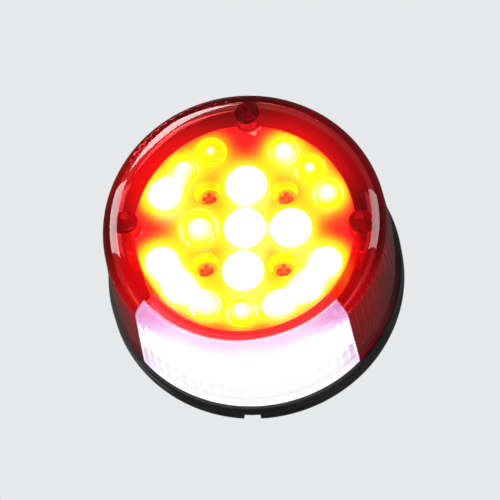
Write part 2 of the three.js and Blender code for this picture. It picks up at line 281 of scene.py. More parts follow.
def prism(name, outline, low, high, ease=0.0, steps=3):
    """A flat outline, drawn anticlockwise, given thickness, with its top and bottom edges eased."""
    flat = np.asarray(outline, float)
    edges = flat - np.roll(flat, 1, axis=0)
    normals = np.stack([edges[:, 1], -edges[:, 0]], axis=1)
    normals /= np.linalg.norm(normals, axis=1)[:, None] + 1e-12
    corner = normals + np.roll(normals, -1, axis=0)
    corner /= np.maximum((corner * normals).sum(axis=1), 0.3)[:, None]
    layers = [(0.0, low), (0.0, high)]
    if ease:
        turns = [math.pi / 2 * step / steps for step in range(steps + 1)]
        round_off = [(ease * (1 - math.sin(t)), ease * (1 - math.cos(t))) for t in turns]
        layers = [(inset, low + rise) for inset, rise in round_off]
        layers += [(inset, high - rise) for inset, rise in reversed(round_off)]
    rows = [[(x, y, z) for x, y in flat - corner * inset] for inset, z in layers]
    count = len(flat)
    points = [point for row in rows for point in row]
    faces = [list(range(count))[::-1], [len(points) - count + k for k in range(count)]]
    for i in range(len(rows) - 1):
        for k in range(count):
            n = (k + 1) % count
            faces.append([i * count + k, i * count + n, (i + 1) * count + n, (i + 1) * count + k])
    return shell(name, points, faces)


def thread(name, crest, root, low, high, at=(0, 0), sides=48, taper=0.7):
    """A right-handed screw thread with its ends turned down. Its rows of points follow the helix."""
    first, last = math.floor(low / PITCH) - 2, math.ceil(high / PITCH) + 2
    rows = [(turn + phase, height) for turn in range(first, last) for phase, height in THREAD_FORM]
    end_radius = root - 0.15
    points = []
    for phase, height in rows:
        for k in range(sides):
            z = min(high, max(low, PITCH * (phase + k / sides)))
            limit = end_radius + min(z - low, high - z) / taper * (crest - end_radius)
            x, y = polar(min(root + (crest - root) * height, limit), 360 * k / sides)
            points.append((at[0] + x, at[1] + y, z))
    faces = [list(range(sides))[::-1], [len(points) - sides + k for k in range(sides)]]
    for i in range(len(rows) - 1):
        for k in range(sides):
            here = i * sides + k
            # Past the last side, a row goes on as the row one turn higher.
            beside = here + 1 if k + 1 < sides else (i + len(THREAD_FORM)) * sides
            if beside + sides < len(points):
                faces.append([here, beside, beside + sides, here + sides])
    return tidied(shell(name, points, faces))


def joined(name, objects):
    """One object made of several shells, each with the finish that finish_index() gave it."""
    work = bmesh.new()
    for piece in objects:
        start = len(work.faces)
        work.from_mesh(piece.data)
        work.faces.ensure_lookup_table()
        for face in work.faces[start:]:
            face.material_index = piece.get("finish", 0)
    mesh = bpy.data.meshes.new(name)
    work.to_mesh(mesh)
    work.free()
    for piece in objects:
        bpy.data.objects.remove(piece)
    made = bpy.data.objects.new(name, mesh)
    bpy.context.scene.collection.objects.link(made)
    return made


def baked(target):
    """Applies the modifiers."""
    bpy.context.view_layer.update()
    evaluated = target.evaluated_get(bpy.context.evaluated_depsgraph_get())
    mesh = bpy.data.meshes.new_from_object(evaluated)
    target.modifiers.clear()
    target.data = mesh
    return target


def combine(target, others, operation):
    for other in others:
        modifier = target.modifiers.new("combine", "BOOLEAN")
        modifier.operation = operation
        modifier.solver = "MANIFOLD"
        modifier.object = other
    baked(target)
    for other in others:
        bpy.data.objects.remove(other)
    return tidied(target)


def cut(target, *tools):
    return combine(target, tools, "DIFFERENCE")


def fuse(target, *others):
    return combine(target, others, "UNION")


def common(target, other):
    return combine(target, [other], "INTERSECT")


def soften(target, width, angle=50, segments=2):
    """Rounds the edges that are still sharp."""
    modifier = target.modifiers.new("ease", "BEVEL")
    modifier.width = width * MM
    modifier.segments = segments
    modifier.limit_method = "ANGLE"
    modifier.angle_limit = math.radians(angle)
    modifier.use_clamp_overlap = True
    return baked(target)


def place(target, slot, finishes, *nodes, body="lamp", crease=32):
    """Finishes a piece: its materials, shading, body, and the nodes it stands for. The slot is not used.
    """
    target.data.materials.clear()
    for finish in finishes.split():
        target.data.materials.append(FINISHES[finish])
    target.data.shade_smooth()
    target.data.set_sharp_from_angle(angle=math.radians(crease))
    target.data.name = target.name
    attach(target, body)
    if nodes:
        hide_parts(*nodes)
    return target


def finish_index(target, index):
    target["finish"] = index
    return target


# ---- shader building


class Shader:
    """A node material that is built up socket by socket."""

    def __init__(self, name, **sockets):
        self.material = bpy.data.materials.new(name)
        self.material.use_nodes = True
        self.tree = self.material.node_tree
        self.principled = self.tree.nodes["Principled BSDF"]
        self.position = self.tree.nodes.new("ShaderNodeTexCoord").outputs["Object"]
        for key, value in sockets.items():
            self.principled.inputs[key.replace("_", " ")].default_value = value

    def node(self, kind, inputs, **settings):
        made = self.tree.nodes.new("ShaderNode" + kind)
        for key, value in settings.items():
            setattr(made, key, value)
        for key, value in inputs.items():
            if isinstance(value, bpy.types.NodeSocket):
                self.tree.links.new(value, made.inputs[key])
            else:
                made.inputs[key].default_value = value
        return made

    def put(self, key, socket):
        self.tree.links.new(socket, self.principled.inputs[key])
        return self

    def noise(self, per_metre, detail=4.0):
        inputs = {"Vector": self.position, "Scale": per_metre, "Detail": detail}
        return self.node("TexNoise", inputs).outputs["Fac"]

    def cells(self, per_metre):
        inputs = {"Vector": self.position, "Scale": per_metre}
        return self.node("TexVoronoi", inputs).outputs["Distance"]

    def ranged(self, socket, low, high, start=0.3, end=0.7):
        """A number that runs from low to high as the socket goes from start to end."""
        inputs = {"Value": socket, "From Min": start, "From Max": end, "To Min": low, "To Max": high}
        return self.node("MapRange", inputs).outputs["Result"]

    def share(self, socket, start, end):
        """A number that runs from 0 to 1 as the socket goes from start to end."""
        return self.ranged(socket, 0.0, 1.0, start, end)

    def math(self, operation, *values):
        return self.node("Math", dict(enumerate(values)), operation=operation).outputs[0]

    def ramp(self, socket, stops):
        made = self.node("ValToRGB", {"Fac": socket})
        elements = made.color_ramp.elements
        while len(elements) < len(stops):
            elements.new(0.5)
        for element, (position, color) in zip(elements, stops):
            element.position = position
            element.color = (*color, 1)
        return made.outputs["Color"]

    def mottle(self, key, cloud, dark, light):
        """An uneven colour for a socket, between two colours that follow a noise."""
        return self.put(key, self.ramp(cloud, [(0.3, dark), (0.7, light)]))

    def multiplied(self, first, second):
        made = self.node("Mix", {0: 1.0}, data_type="RGBA", blend_type="MULTIPLY")
        for key, socket in (("A", first), ("B", second)):
            color = next(i for i in made.inputs if i.name == key and i.type == "RGBA")
            self.tree.links.new(socket, color)
        return next(o for o in made.outputs if o.type == "RGBA")

    def bump(self, socket, height):
        inputs = {"Height": socket, "Distance": height * MM, "Strength": 1.0}
        return self.put("Normal", self.node("Bump", inputs).outputs["Normal"])

    def vector(self, operation, *values):
        return self.node("VectorMath", dict(enumerate(values)), operation=operation).outputs

    def across(self):
        """The position seen along the lamp's axis, in millimetres, and its distance from the axis."""
        flat = self.vector("MULTIPLY", self.position, (1 / MM, 0, 1 / MM))["Vector"]
        return flat, self.vector("LENGTH", flat)["Value"]

    def along(self, axis, scale):
        split = self.node("SeparateXYZ", {"Vector": self.position})
        return self.math("MULTIPLY", split.outputs[axis], scale)

    def depth(self):
        """The depth in front of the mounting face, in millimetres."""
        return self.along("Y", -1 / MM)

    def height(self):
        """The height above the lamp's axis, in millimetres."""
        return self.along("Z", 1 / MM)

    def led_field(self, spread):
        """Painted light that falls away from the axis of each red LED."""
        flat, _ = self.across()
        total = 0.0
        for (x, y), power in zip(LED_PLACES, LED_POWER):
            offset = self.vector("SUBTRACT", flat, (x, 0, y))["Vector"]
            square = self.vector("DOT_PRODUCT", offset, offset)["Value"]
            fall = self.math("POWER", math.exp(-0.5 / spread**2), square)
            total = self.math("MULTIPLY_ADD", fall, power, total)
        return total


def moulded(name, dark, light, roughness, cloud_size, grain_size, grain, **sockets):
    """A solid material whose colour and roughness wander, with a fine grain on its surface."""
    shader = Shader(name, **sockets)
    cloud = shader.noise(cloud_size)
    shader.mottle("Base Color", cloud, dark, light)
    shader.put("Roughness", shader.ranged(cloud, *roughness))
    return shader.bump(shader.noise(grain_size, 3.0), grain)


def grey(value, warmth=0.0):
    return (value * (1 + warmth), value, value * (1 - warmth))


def plastic(*look):
    return moulded(*look).material


def metal(name, dark, light, roughness, grain):
    return moulded(name, dark, light, roughness, 260, 3000, grain, Metallic=1.0).material


def red_lens_finish():
    """Red acrylic, deeper in colour at its wall, with the LEDs' light that spreads inside it painted on
    as a glow.
    """
    shader = Shader("red_acrylic", Transmission_Weight=1.0, IOR=1.49, Emission_Strength=1.0)
    face_edge, wall_edge = 20.5, 24.0
    spread, brightest = 5.0, 4.0
    cloud = shader.noise(120, 2.0)
    _, radius = shader.across()
    tint = shader.ramp(
        shader.share(radius, face_edge, wall_edge),
        [(0.0, (0.95, 0.30, 0.26)), (1.0, (0.72, 0.05, 0.05))],
    )
    wander = shader.ramp(cloud, [(0.3, grey(0.97)), (0.7, grey(1.0))])
    shader.put("Base Color", shader.multiplied(tint, wander))
    shader.put("Roughness", shader.ranged(cloud, 0.02, 0.05))
    # Painted glow: light spreading in the acrylic from each LED, weaker away from the LEDs and towards
    # the lens's base.
    stops = [(0.0, (0.0, 0.0, 0.0)), (0.1, (0.05, 0.0, 0.001))]
    stops += [(0.3, (0.34, 0.0, 0.001)), (1.0, (0.6, 0.0, 0.0))]
    painted_glow = shader.ramp(shader.share(shader.led_field(spread), 0.0, brightest), stops)
    forward = shader.ramp(
        shader.share(shader.depth(), LENS["base"], LENS["front"]),
        [(0.0, grey(0.35)), (0.75, grey(0.9)), (1.0, grey(1.0))],
    )
    shader.put("Emission Color", shader.multiplied(painted_glow, forward))
    return shader.material


def window_finish():
    """Clear acrylic with a painted white glow from the LEDs behind it, dimmer with depth, and painted
    lilac where red light would reach its front edge and its corners.
    """
    shader = Shader("clear_acrylic", Transmission_Weight=0.92, IOR=1.49, Emission_Strength=0.4)
    painted_red_start = 24.0
    corner_low, corner_high, painted_red_corners = -22.0, -17.5, 0.55
    dim_start, dim_end = 12.0, 22.0
    cloud = shader.noise(700, 2.0)
    height = shader.height()
    front = shader.share(shader.depth(), painted_red_start, LENS["front"])
    # Painted red light: lilac at the front edge and at the corners, in the tint and in the glow.
    corners = shader.ranged(height, 0.0, painted_red_corners, corner_low, corner_high)
    painted_red = shader.math("ADD", front, corners)
    clear = shader.ramp(cloud, [(0.3, (0.93, 0.92, 0.98)), (0.7, (0.98, 0.97, 1.0))])
    stops = [(0.3, (1.0, 1.0, 1.0)), (0.7, (0.9, 0.58, 0.86)), (1.0, (0.85, 0.35, 0.62))]
    painted_red_tint = shader.ramp(painted_red, stops)
    shader.put("Base Color", shader.multiplied(clear, painted_red_tint))
    shader.put("Roughness", shader.ranged(cloud, 0.1, 0.2))
    # Painted glow, white, turning lilac where the painted red light falls, and dimmer with depth.
    stops = [(0.3, (1.0, 0.98, 1.0)), (0.6, (0.7, 0.3, 0.7)), (1.0, (0.4, 0.03, 0.2))]
    lit = shader.ramp(painted_red, stops)
    fall = shader.share(shader.depth(), dim_start, dim_end)
    low = shader.ramp(fall, [(0.0, grey(1.0)), (1.0, grey(0.3))])
    shader.put("Emission Color", shader.multiplied(lit, low))
    return shader.bump(shader.cells(1600), 0.015).material


def lit_red(name, dot=0.0, **sockets):
    """A finish inside the red chamber with the light of the LEDs round it painted on as glow: the LEDs'
    own light, and on the reflector painted light. A dot faces the lens on each LED.
    """
    shader = Shader(name, Emission_Strength=LED_STRENGTH, **sockets)
    spread, base, base_start, base_end = 2.35, 0.16, 10.0, 17.0
    edge_start, edge_end, edge_share = 20.4, 20.8, 0.1
    _, radius = shader.across()
    normal = shader.tree.nodes.new("ShaderNodeTexCoord").outputs["Normal"]
    forward = shader.math("ABSOLUTE", shader.node("SeparateXYZ", {"Vector": normal}).outputs["Y"])
    even = shader.led_field(spread)
    # Painted light: more of it near the middle, and little at the reflector's outer edge.
    field = shader.math("ADD", even, shader.ranged(radius, base, 0.0, base_start, base_end))
    field = shader.math("MULTIPLY", field, shader.ranged(radius, 1.0, edge_share, edge_start, edge_end))
    field = shader.math("ADD", field, shader.ranged(forward, 0.0, dot, 0.9, 1.0))
    most = LED_LIGHT[-1][0]
    stops = [(level / most, color) for level, color in LED_LIGHT]
    return shader.put("Emission Color", shader.ramp(shader.share(field, 0.0, most), stops))


# The reflector is no lamp: its glow is painted light from the LEDs round it.
def mirror_finish():
    shader = lit_red("metallised_plastic", Metallic=1.0)
    cloud = shader.noise(180, 3.0)
    shader.mottle("Base Color", cloud, grey(0.72), grey(0.82))
    shader.put("Roughness", shader.ranged(cloud, 0.16, 0.26))
    return shader.bump(shader.noise(900, 3.0), 0.008).material


def red_led_finish():
    shader = lit_red("red_led_epoxy", 0.4, IOR=1.5, Roughness=0.15)
    cloud = shader.noise(400, 2.0)
    shader.mottle("Base Color", cloud, (0.8, 0.05, 0.02), (0.9, 0.09, 0.03))
    return shader.material


def divider_finish():
    """White plastic, with the light of the white LEDs painted on its outer side as a glow that fades
    with depth.
    """
    look = (grey(0.78), grey(0.86), (0.35, 0.5), 150, 2500, 0.01)
    shader = moulded("white_divider", *look, Emission_Strength=1.8)
    lit_from, lit_to = 21.6, 22.0
    fall_from, fall_to = 16.0, 28.0
    _, radius = shader.across()
    # Painted light: bright on the outer side, facing the white LEDs, and dimmer with depth.
    side = shader.share(radius, lit_from, lit_to)
    lit = shader.ramp(side, [(0.0, (0.05, 0.0, 0.0)), (1.0, (1.0, 0.97, 1.0))])
    depth = shader.share(shader.depth(), fall_from, fall_to)
    stops = [(0.0, grey(1.0)), (0.6, (0.35, 0.12, 0.3)), (1.0, (0.1, 0.01, 0.05))]
    shader.put("Emission Color", shader.multiplied(lit, shader.ramp(depth, stops)))
    return shader.material


def lit_white(name, look, cloud_size, dark, strength):
    """A moulded finish that gives off an uneven white glow: the LEDs' own light, and painted light on
    the flexible circuit.
    """
    shader = moulded(name, *look, Emission_Strength=strength)
    cloud = shader.noise(cloud_size, 2.0)
    shader.mottle("Emission Color", cloud, dark, (1.0, 1.0, 1.0))
    return shader.material


def white_led_finish():
    look = ((0.9, 0.85, 0.6), (0.95, 0.9, 0.7), (0.3, 0.4), 900, 3000, 0.004)
    return lit_white("white_led_phosphor", look, 1500, (0.9, 0.9, 1.0), 5.0)


# The flexible circuit is no lamp: its white glow is painted light from the white LEDs on it.
def flex_finish():
    look = ((0.7, 0.69, 0.64), (0.8, 0.79, 0.75), (0.35, 0.5), 400, 2500, 0.004)
    return lit_white("flexible_circuit", look, 500, (0.85, 0.85, 0.95), 2.2)


def board_finish():
    """Green solder mask over copper tracks that run under it as a faint relief."""
    shader = Shader("solder_mask", IOR=1.5)
    inputs = {"Vector": shader.position, "Scale": 420.0, "Distortion": 1.4}
    tracks = shader.node("TexMagic", inputs, turbulence_depth=2)
    relief = shader.share(tracks.outputs["Fac"], 0.42, 0.5)
    stops = [(0.0, (0.004, 0.055, 0.024)), (1.0, (0.012, 0.125, 0.055))]
    shader.put("Base Color", shader.ramp(relief, stops))
    shader.put("Roughness", shader.ranged(shader.noise(600), 0.22, 0.38))
    return shader.bump(relief, 0.03).material


FINISHES = {
    "nylon": plastic("black_nylon", grey(0.010), grey(0.020, -0.02), (0.4, 0.56), 90, 2400, 0.02),
    "rubber": plastic("black_rubber", grey(0.009), grey(0.022), (0.62, 0.82), 150, 1700, 0.03),
    "white": plastic("white_nylon", grey(0.72, 0.01), grey(0.82, 0.01), (0.36, 0.5), 160, 2500, 0.01),
    "chip": plastic("moulded_epoxy", grey(0.012), grey(0.03), (0.42, 0.6), 500, 5000, 0.006),
    "ceramic": plastic("white_ceramic", grey(0.6), grey(0.7), (0.5, 0.6), 500, 5000, 0.004),
    "zinc": metal("zinc_plate", (0.47, 0.48, 0.51), (0.66, 0.67, 0.68), (0.2, 0.36), 0.006),
    "tin": metal("solder_tin", (0.58, 0.58, 0.6), (0.72, 0.72, 0.73), (0.2, 0.34), 0.01),
    "lens": red_lens_finish(),
    "window": window_finish(),
    "mirror": mirror_finish(),
    "red_led": red_led_finish(),
    "divider": divider_finish(),
    "white_led": white_led_finish(),
    "flex": flex_finish(),
    "board": board_finish(),
}


# ---- lens and window


def drum(name):
    """The whole drum of the lens. The inside of its wall is fluted to spread the light."""
    flutes, flute_depth, flute_fade = 90, 0.24, 4
    foot_round, round_steps, steps = 0.35, 4, 10
    bend, inner_bend = LENS["bend"], LENS["inner_bend"]
    crown_radius = LENS["top_outer"] - bend
    crown = [crown_radius * step / steps for step in range(steps)]
    rise = [LENS["crown"] * (1 - (r / crown_radius) ** 2) for r in crown]
    wall = LENS["top_inner"] - inner_bend
    profile = [(r, SHOULDER + inner_bend + h) for r, h in zip(crown, rise)]
    profile += arc((wall, SHOULDER), inner_bend, 90, 0, 8)
    for step in range(1, steps):
        t = step / steps
        radius = LENS["top_inner"] + (LENS["inner"] - LENS["top_inner"]) * t
        profile.append((radius, SHOULDER + (LENS["base"] - SHOULDER) * t))
    foot = [(LENS["inner"], LENS["base"]), (LENS["outer"], LENS["base"])]
    beyond = (LENS["top_outer"] + 0.5, SHOULDER / 2)  # only gives the wall's direction
    profile += eased([*foot, beyond], foot_round, round_steps)[: len(foot) * (round_steps + 1)]
    profile += arc((crown_radius, SHOULDER), bend, 0, 90, 20)
    profile += [(r, SHOULDER + bend + h) for r, h in zip(reversed(crown), reversed(rise))]

    def fluted(radius, depth, angle):
        on_wall = radius < LENS["inner"] and LENS["base"] + 1 < depth < SHOULDER
        end = min(depth - LENS["base"], SHOULDER - depth)
        fade = min(1.0, end / flute_fade) if on_wall else 0
        return radius + flute_depth * fade * math.sin(angle * flutes / 2) ** 2

    return lathe(name, profile, 4 * flutes, shape=fluted)


def window_space(gap):
    """The space of the plate window in the drum, grown by some clearance."""
    extra = math.degrees(gap / WINDOW["inner"])
    outline = sector(WINDOW["inner"] - gap, RIM + PAST, WINDOW["half_angle"] + extra, 96)
    return prism("window_space", outline, LENS["base"] - PAST, LENS["front"] + PAST)


def red_lens():
    boss, hole, hole_depth, into_face = 2.3, 0.9, 7.6, 1.6
    low, high = COLLAR["top"] + WINDOW["gap"], LENS["front"] - into_face
    places = [centre(node) for node in LENS_SCREWS]
    bosses = [rod("boss", boss, low, high, at) for at in places]
    holes = [rod("hole", hole, low - PAST, low + hole_depth, at) for at in places]
    lens = fuse(drum("red_lens_shell"), *bosses)
    cut(lens, window_space(WINDOW["gap"]), *holes)
    place(lens, "red_lens", "lens", "red_lens", crease=40)


def plate_window():
    window = common(drum("plate_window_shell"), window_space(0))
    place(window, "clear_lens", "window", "plate_light_window", crease=40)


# ---- gasket, housing and seal


def mounting_gasket():
    """A moulded rubber pad with two raised sealing beads round its back and a drain slot."""
    back, front = GASKET[0], HOUSING_BACK - TOUCH
    dip, middle = back + 0.35, back + 0.2
    beads = []
    for radius in (RIM - 5.6, RIM - 1.5):
        foot, crest = 1.1, 0.45
        beads += [(radius - foot, dip), (radius - crest, back)]
        beads += [(radius + crest, back), (radius + foot, dip)]
    outline = [(0, middle), (RIM - 8.4, middle), (RIM - 8, dip), *beads, (RIM, dip)]
    pad = lathe("gasket_pad", eased(outline + [(RIM, front), (0, front)], 0.25, 3), FINE)
    low, high = back - PAST, front + PAST
    stud_holes = [rod("hole", THREAD["crest"] + 0.5, low, high, at) for at in STUD_PLACES.values()]
    gland = rod("hole", 6.5, low, high, GLAND_PLACE, sides=MEDIUM)
    vent = rod("hole", 3.7, low, high, VENT_PLACE, sides=MEDIUM)
    slot = prism("slot", plate(3.2, RIM, 0.3, (0, VENT_PLACE[1] - RIM / 2)), low, high)
    cut(pad, *stud_holes, gland, vent, slot)
    soften(pad, 0.15)
    place(pad, "rubber", "rubber", "mounting_gasket")


def flared(name, radius, foot, top, at, flare=0.7):
    """A moulded post with a fillet at its foot and an eased top."""
    ease, sunk = 0.25, foot - 0.5
    fillet = arc((radius + flare, foot + flare), flare, -90, -180, 5)
    top_edge = arc((radius - ease, top - ease), ease, 0, 90, 3)
    profile = [(0, sunk), (radius + flare, sunk), *fillet, *top_edge, (0, top)]
    return lathe(name, profile, SMALL, at)


def housing():
    """The black base: a disc with a groove for the seal, a collar inside the lens, and posts."""
    back, face, top = HOUSING_BACK, FACE, COLLAR["top"]
    floor_depth = depths("lens_seal")[0] - 0.3
    groove_in, groove_out = 25.35, 26.95
    groove = [(groove_out, face), (groove_out, floor_depth), (groove_in, floor_depth), (groove_in, face)]
    inner, outer = COLLAR["inner"], COLLAR["outer"]
    collar = [(outer, face), (outer, top), (inner, top), (inner, face)]
    outline = [(0, back), (RIM, back), (RIM, face), *groove, *collar, (0, face)]
    base = lathe("housing_base", eased(outline, 0.22, 3), FINE)
    board_posts = [flared("post", 2.3, face, BOARD[0] - 0.3, centre(node)) for node in BOARD_SCREWS]
    lens_posts = [flared("post", 2.6, face, top, centre(node), 0.3) for node in LENS_SCREWS]
    stud_posts = [flared("post", 5.9, face, face + 1.9, at) for at in STUD_PLACES.values()]
    rib_end = inner + 0.3
    rib = (rib_end - 6.5) / 2
    ribs = []
    for angle in (30, 60, 120, 150, 210, 240, 300, 330):
        at = polar(rib_end - rib / 2, angle)
        ribs.append(prism("rib", plate(rib, 0.9, 0.3, at, angle), face - 0.5, face + 1.6, 0.2))
    fuse(base, *board_posts, *lens_posts, *stud_posts, *ribs)
    tools = []
    for node in BOARD_SCREWS:
        tools.append(rod("hole", 1.25, back + 1.2, BOARD[0], centre(node)))
    for node in LENS_SCREWS:
        tools.append(rod("hole", 1.35, back - PAST, top + PAST, centre(node)))
        tools.append(rod("hole", 2.8, back - PAST, back + 2.0, centre(node)))
    for at in STUD_PLACES.values():
        tools.append(rod("hole", 2.7, back - PAST, face + 3, at))
        tools.append(hexagon("pocket", 8.6, face, face + 3, at))
    tools.append(rod("hole", 5.2, back - PAST, face + PAST, GLAND_PLACE, sides=MEDIUM))
    tools.append(rod("hole", 1.5, back - PAST, face + PAST, VENT_PLACE))
    cut(base, *tools)
    place(base, "black_nylon", "nylon", "housing")


def lens_seal():
    """A lip seal: a flat foot with two rounded beads on top."""
    low, high = lamp_box("lens_seal")
    inner, outer = high.x - 1.1, high.x
    foot, top, dip = low.z, high.z, high.z - 0.3
    bead = (outer - inner) / 4
    outline = [(inner, foot), (outer, foot), (outer, dip)]
    outline += arc((outer - bead, dip), bead, 0, 180, 8)[1:]
    outline += arc((inner + bead, dip), bead, 0, 180, 8)[1:]
    outline = [(r, min(z, top)) for r, z in outline]
    place(lathe("lip_seal", outline, FINE), "rubber", "rubber", "lens_seal")


# ---- red light


def led_board():
    low, high = BOARD
    board = prism("led_circuit", circle(BOARD_RADIUS, sides=FINE), low, high, 0.06, 2)
    holes = [rod("hole", 1.4, low - PAST, high + PAST, centre(node)) for node in BOARD_SCREWS]
    notches = [rod("notch", 2.9, low - PAST, high + PAST, centre(node)) for node in LENS_SCREWS]
    cut(board, *holes, *notches)
    place(board, "circuit_board", "board", "led_board")


def reflector():
    """A metallised plate with a parabolic cup round each LED and a well over each board screw."""
    low, high = REFLECTOR
    bottom, top = low - PAST, high + PAST
    throat, wide_mouth, mouth_radius, lip, steps = 2.78, 3.82, 2.9, 0.1, 8
    cup_depth = high - low - 0.15
    cups = rod("reflector_cups", BOARD_RADIUS, low, high, ease=0.3, sides=FINE)
    tools = []
    for index, at in enumerate(LED_PLACES):
        mouth = wide_mouth if index < INNER_LEDS else mouth_radius
        wall = []
        for step in range(steps + 1):
            t = step / steps
            wall.append((throat + (mouth - throat) * math.sqrt(t), low + cup_depth * t))
        opening = [(mouth + lip, high), (mouth + lip, top), (0, top)]
        profile = [(0, bottom), (throat, bottom), *wall, *opening]
        tools.append(lathe("cup", profile, 48, at))
    for node in BOARD_SCREWS:
        tools.append(rod("hole", 1.4, bottom, top, centre(node)))
        tools.append(rod("well", 2.5, low + 1.2, top, centre(node)))
    for node in LENS_SCREWS:
        tools.append(rod("notch", 2.6, bottom, top, centre(node)))
    cut(cups, *tools)
    place(cups, "reflector_mirror", "mirror", "reflector")


def red_led(node):
    """A 5 mm LED: a domed body with a flange that is flat on one side, two legs and their solder."""
    at = centre(node)
    low, high = depths(node)
    back = BOARD[0]
    radius, flange, flange_height, ease_steps = 2.5, 2.9, 1, 2
    leg_spacing, leg = 2.54, 0.26
    dome = arc((0, high - radius), radius, 0, 90, 10)
    flange_top = low + flange_height
    corners = [(0, low), (flange, low), (flange, flange_top), (radius, flange_top), dome[0]]
    ring = eased(corners, 0.12, ease_steps)[: -(ease_steps + 1)]
    body = lathe(node.replace("red_led", "led_body"), [*ring, *dome[:-1], (0, high)], 40, at)
    turn = angle_of(at) + 90 if math.hypot(*at) > 1 else 0
    side = prism("flat", plate(2, 8, 0.1, (at[0] + flange, at[1])), low - PAST, flange_top + 0.02)
    cut(body, side)
    place(body, "red_led", "red_led", node)
    cone = [(0, -1.15), (0.3, -1.1), (0.42, -0.6), (0.85, -0.08), (0.85, -0.02), (0, -0.02)]
    legs = []
    for offset in (-leg_spacing / 2, leg_spacing / 2):
        dx, dy = polar(offset, turn)
        spot = (at[0] + dx, at[1] + dy)
        legs.append(rod("leg", leg, back - 1.3, low - 0.02, spot, sides=12))
        legs.append(lathe("solder", [(r, back + z) for r, z in cone], 20, spot))
    place(joined(node.replace("red_led", "led_legs"), legs), "steel", "tin")


def cross_recess(at, floor, top, size):
    """Two crossed bars that cut a screw's drive, from its floor out past its top."""
    low, high = sorted((floor, top + math.copysign(0.5, top - floor)))
    outlines = [plate(size, size * 0.3, 0.08, at, turn) for turn in (0, 90)]
    return [prism("arm", outline, low, high) for outline in outlines]


def screw(name, at, head_radius, head, shank_radius, tip, seat, drive_size):
    """A pan-headed screw. head is the depth of its top, and seat of the underside of its head."""
    up = 1 if head > seat else -1
    height = abs(head - seat)
    crown = [(head_radius, height * 0.45), (head_radius * 0.72, height * 0.92), (0, height)]
    outline = [(0, 0), (head_radius, 0), *crown]
    profile = [(r, seat + up * z) for r, z in eased(outline, 0.3, 4)]
    top = lathe(name, profile, MEDIUM, at)
    cut(top, *cross_recess(at, head - up * height * 0.65, head, drive_size))
    low, high = sorted((tip, seat + up * 0.1))
    shank = thread("shank", shank_radius, shank_radius * 0.8, low, high, at, 24, 0.5)
    return fuse(top, shank)


def board_screw(node):
    low, high = depths(node)
    made = screw(node.replace("screw", "fixing"), centre(node), 2.2, high, 1.1, low, high - 1.6, 2.4)
    place(made, "steel", "zinc", node)


def lens_screw(node):
    low, high = depths(node)
    made = screw(node.replace("screw", "fixing"), centre(node), 2.5, low, 1.05, high, low + 1.5, 2.8)
    place(made, "steel", "zinc", node)


# ---- components behind the board


def chip_resistor(node):
    """A ceramic chip with a black film on its outer face and tinned ends."""
    low, high = depths(node)
    at = centre(node)
    large = node == "dimming_resistor"
    size_x, size_y = (6.3, 3.2) if large else (1.6, 3.2)
    turn = 0 if large else angle_of(at)
    film_x, film_y = (size_x - 1.5, size_y - 0.3) if large else (size_x - 0.3, size_y - 1.1)
    end_x, end_y = (0.56, size_y) if large else (size_x, 0.48)
    body = prism("body", plate(size_x - 0.1, size_y - 0.1, 0.06, at, turn), low + 0.1, high - 0.02, 0.03)
    film = prism("film", plate(film_x, film_y, 0.08, at, turn), low + 0.04, low + 0.15, 0.03)
    parts = [finish_index(body, 0), finish_index(film, 1)]
    for side in (-1, 1):
        x, y = (side * (size_x / 2 - 0.28), 0) if large else (0, side * (size_y / 2 - 0.24))
        c, s = polar(1, turn)
        spot = (at[0] + c * x - s * y, at[1] + s * x + c * y)
        end = prism("end", plate(end_x, end_y, 0.08, spot, turn), low, high, 0.05)
        parts.append(finish_index(end, 2))
    made = joined(node + "_chip", parts)
    place(made, "component_black", "ceramic chip tin", node)


def leaded_package(node, pins, width, height, reach):
    """A moulded package with flat leads bent down to the board on its left and right."""
    low, high = depths(node)
    at = centre(node)
    middle = (low + high) / 2
    lead, ease = 0.1, 0.03
    lower = prism("body", plate(width, height, 0.12, at), low, middle, 0.12)
    upper = prism("body", plate(width, height, 0.12, at), middle - SKIN, high - 0.1, 0.1)
    parts = [finish_index(lower, 0), finish_index(upper, 0)]
    pitch = height / (pins + 1)
    outer, inner = width / 2 + reach, width / 2 - 0.2
    for side in (-1, 1):
        for k in range(pins):
            y = at[1] - height / 2 + pitch * (k + 1)
            knee = (at[0] + side * (inner + outer) / 2, y)
            tip = (at[0] + side * outer, y)
            leg = plate(outer - inner, pitch * 0.5, 0.04, knee)
            foot = plate(2 * lead, pitch * 0.5, 0.04, tip)
            parts.append(finish_index(prism("lead", leg, middle - lead, middle + lead, ease), 1))
            parts.append(finish_index(prism("lead", foot, middle - lead, high, ease), 1))
    made = joined(node + "_package", parts)
    place(made, "component_black", "chip tin", node)


def wire_terminal():
    """A three-way wire terminal: a white block with a wire entry and a tinned clamp for each core."""
    low, high = lamp_box("wire_terminal")
    x, y = centre("wire_terminal")
    width, height = high.x - low.x, high.y - low.y
    spacing = width / 3.2
    block = prism("wire_terminal_block", plate(width, height, 0.3, (x, y)), low.z, high.z, 0.15)
    entries = []
    clamps = []
    for across in (x - spacing, x, x + spacing):
        wire = plate(1.5, 1.9, 0.3, (across, y - 0.9))
        release = plate(1.2, 0.9, 0.2, (across, y + 1.3))
        clamp = plate(1.3, 0.25, 0.1, (across, y - 0.6), 8)
        entries.append(prism("entry", wire, low.z - PAST, low.z + 1.2))
        entries.append(prism("entry", release, low.z - PAST, low.z + 0.8))
        clamps.append(prism("clamp", clamp, low.z + 0.3, low.z + 1.15, 0.06))
    cut(block, *entries)
    place(block, "white_plastic", "white", "wire_terminal")
    place(joined("wire_terminal_clamps", clamps), "steel", "tin")


# ---- white light for the number plate


